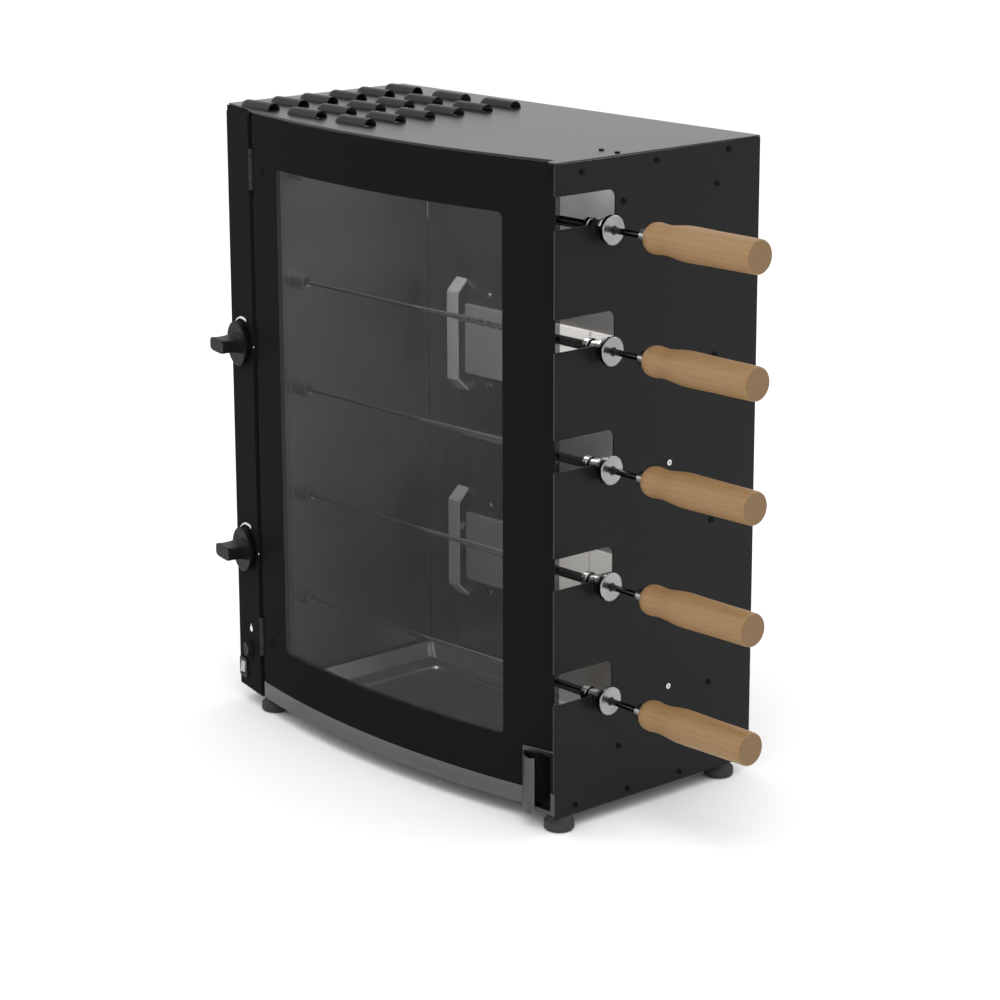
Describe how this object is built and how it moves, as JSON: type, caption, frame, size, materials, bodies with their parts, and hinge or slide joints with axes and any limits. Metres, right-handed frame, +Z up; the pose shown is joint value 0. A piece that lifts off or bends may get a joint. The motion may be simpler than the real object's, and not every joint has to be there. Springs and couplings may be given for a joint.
{
  "type": "rotisserie oven",
  "caption": "Upright tabletop gas rotisserie oven with a curved glass door, side-loaded skewers with turned wooden grips, rear infrared burners and a louvred top.",
  "frame": {"origin": "middle of the footprint of the whole box, on the surface that the feet stand on", "axes": "+X towards the skewer grips on the right, +Y towards the back, +Z up; the curved door faces -Y"},
  "size_m": [0.72, 0.2928, 0.642],
  "materials": {
    "black_paint": "semi-matt black powder coat",
    "control_paint": "matt black panel with white print",
    "galvanised": "bare bright sheet, heat-dulled",
    "stainless": "satin stainless steel",
    "chrome": "polished chrome",
    "anodised": "dark anodised satin",
    "tinted_glass": "smoked safety glass with a black printed border",
    "burner_ceramic": "bare ceramic",
    "beech": "oiled turned beech",
    "black_plastic": "fine matt black moulding",
    "grey_plastic": "matt light grey moulding",
    "rubber": "matt black rubber",
    "brass": "machined brass",
    "copper": "drawn copper tube",
    "dark_steel": "oiled dark steel"
  },
  "bodies": {
    "cabinet": {"base_pan": "black_paint", "right_side_panel": "black_paint", "left_side_panel": "black_paint", "back_panel": "black_paint", "top_panel": "black_paint", "inner_left_wall": "galvanised", "chamber_back_wall": "galvanised", "control_panel": "control_paint", "gas_manifold": "brass", "igniter_module": "black_plastic", "switch_bezel": "black_plastic", "mains_gland": "black_plastic", "gear_motor": "dark_steel", "drive_chain": "dark_steel", "front_left_foot": "rubber", "front_right_foot": "rubber", "back_left_foot": "rubber", "back_right_foot": "rubber", "upper_gas_valve": "brass", "upper_burner_body": "dark_steel", "upper_burner_plaque": "burner_ceramic", "upper_burner_guard": "chrome", "upper_spark_electrode": "burner_ceramic", "upper_burner_feed": "copper", "upper_cabinet_hinge_leaf": "stainless", "lower_gas_valve": "brass", "lower_burner_body": "dark_steel", "lower_burner_plaque": "burner_ceramic", "lower_burner_guard": "chrome", "lower_spark_electrode": "burner_ceramic", "lower_burner_feed": "copper", "lower_cabinet_hinge_leaf": "stainless"},
    "door": {"door_glass": "tinted_glass", "door_rail": "anodised", "door_handle": "anodised", "upper_door_hinge_leaf": "stainless", "lower_door_hinge_leaf": "stainless"},
    "socket_1": {"drive_socket_1": "dark_steel"},
    "skewer_1": {"skewer_rod_1": "chrome", "skewer_handle_1": "beech"},
    "socket_2": {"drive_socket_2": "dark_steel"},
    "skewer_2": {"skewer_rod_2": "chrome", "skewer_handle_2": "beech"},
    "socket_3": {"drive_socket_3": "dark_steel"},
    "skewer_3": {"skewer_rod_3": "chrome", "skewer_handle_3": "beech"},
    "socket_4": {"drive_socket_4": "dark_steel"},
    "skewer_4": {"skewer_rod_4": "chrome", "skewer_handle_4": "beech"},
    "socket_5": {"drive_socket_5": "dark_steel"},
    "skewer_5": {"skewer_rod_5": "chrome", "skewer_handle_5": "beech"},
    "motor_output": {"motor_sprocket": "dark_steel"},
    "upper_stem": {"upper_valve_stem": "dark_steel"},
    "upper_knob_body": {"upper_knob": "black_plastic"},
    "lower_stem": {"lower_valve_stem": "dark_steel"},
    "lower_knob_body": {"lower_knob": "black_plastic"},
    "ignition_push": {"ignition_button": "black_plastic"},
    "switch_rocker": {"rocker_switch": "grey_plastic"},
    "tray": {"drip_tray": "stainless"}
  },
  "joints": [
    {"name": "door_hinge", "type": "hinge", "parent": "cabinet", "child": "door", "pos_m": [-0.303, -0.1181, 0.325], "axis": [0, 0, -1], "range_deg": [0, 85]},
    {"name": "socket_1_spin", "type": "hinge", "parent": "cabinet", "child": "socket_1", "pos_m": [-0.3, -0.0744, 0.5698], "axis": [1, 0, 0], "continuous": true},
    {"name": "skewer_1_withdraw", "type": "slide", "parent": "socket_1", "child": "skewer_1", "axis": [1, 0, 0], "range_m": [0, 0.06]},
    {"name": "socket_2_spin", "type": "hinge", "parent": "cabinet", "child": "socket_2", "pos_m": [-0.3, -0.0744, 0.458], "axis": [1, 0, 0], "continuous": true},
    {"name": "skewer_2_withdraw", "type": "slide", "parent": "socket_2", "child": "skewer_2", "axis": [1, 0, 0], "range_m": [0, 0.06]},
    {"name": "socket_3_spin", "type": "hinge", "parent": "cabinet", "child": "socket_3", "pos_m": [-0.3, -0.0744, 0.3462], "axis": [1, 0, 0], "continuous": true},
    {"name": "skewer_3_withdraw", "type": "slide", "parent": "socket_3", "child": "skewer_3", "axis": [1, 0, 0], "range_m": [0, 0.06]},
    {"name": "socket_4_spin", "type": "hinge", "parent": "cabinet", "child": "socket_4", "pos_m": [-0.3, -0.0744, 0.2344], "axis": [1, 0, 0], "continuous": true},
    {"name": "skewer_4_withdraw", "type": "slide", "parent": "socket_4", "child": "skewer_4", "axis": [1, 0, 0], "range_m": [0, 0.06]},
    {"name": "socket_5_spin", "type": "hinge", "parent": "cabinet", "child": "socket_5", "pos_m": [-0.3, -0.0744, 0.1226], "axis": [1, 0, 0], "continuous": true},
    {"name": "skewer_5_withdraw", "type": "slide", "parent": "socket_5", "child": "skewer_5", "axis": [1, 0, 0], "range_m": [0, 0.06]},
    {"name": "motor_spin", "type": "hinge", "parent": "cabinet", "child": "motor_output", "pos_m": [-0.303, -0.0744, 0.06], "axis": [1, 0, 0], "continuous": true},
    {"name": "upper_knob_turn", "type": "hinge", "parent": "cabinet", "child": "upper_stem", "pos_m": [-0.33077, -0.11335, 0.392], "axis": [-0.225, -0.9744, 0], "range_deg": [0, 180]},
    {"name": "upper_knob_press", "type": "slide", "parent": "upper_stem", "child": "upper_knob_body", "axis": [0.225, 0.9744, 0], "range_m": [0, 0.003], "stiffness_N_per_m": 600},
    {"name": "lower_knob_turn", "type": "hinge", "parent": "cabinet", "child": "lower_stem", "pos_m": [-0.33077, -0.11335, 0.172], "axis": [-0.225, -0.9744, 0], "range_deg": [0, 180]},
    {"name": "lower_knob_press", "type": "slide", "parent": "lower_stem", "child": "lower_knob_body", "axis": [0.225, 0.9744, 0], "range_m": [0, 0.003], "stiffness_N_per_m": 600},
    {"name": "ignition_press", "type": "slide", "parent": "cabinet", "child": "ignition_push", "axis": [0.225, 0.9744, 0], "range_m": [0, 0.0035], "stiffness_N_per_m": 500},
    {"name": "switch_rock", "type": "hinge", "parent": "cabinet", "child": "switch_rocker", "pos_m": [-0.34621, -0.10465, 0.037], "axis": [0.9744, -0.225, 0], "range_deg": [0, 14]},
    {"name": "tray_lift", "type": "slide", "parent": "cabinet", "child": "tray", "axis": [0, 0, 1], "range_m": [0, 0.03]}
  ],
  "couplings": [
    {"joint": "socket_2_spin", "follows": "socket_1_spin", "ratio": 1},
    {"joint": "socket_3_spin", "follows": "socket_1_spin", "ratio": 1},
    {"joint": "socket_4_spin", "follows": "socket_1_spin", "ratio": 1},
    {"joint": "socket_5_spin", "follows": "socket_1_spin", "ratio": 1},
    {"joint": "motor_spin", "follows": "socket_1_spin", "ratio": 1}
  ]
}
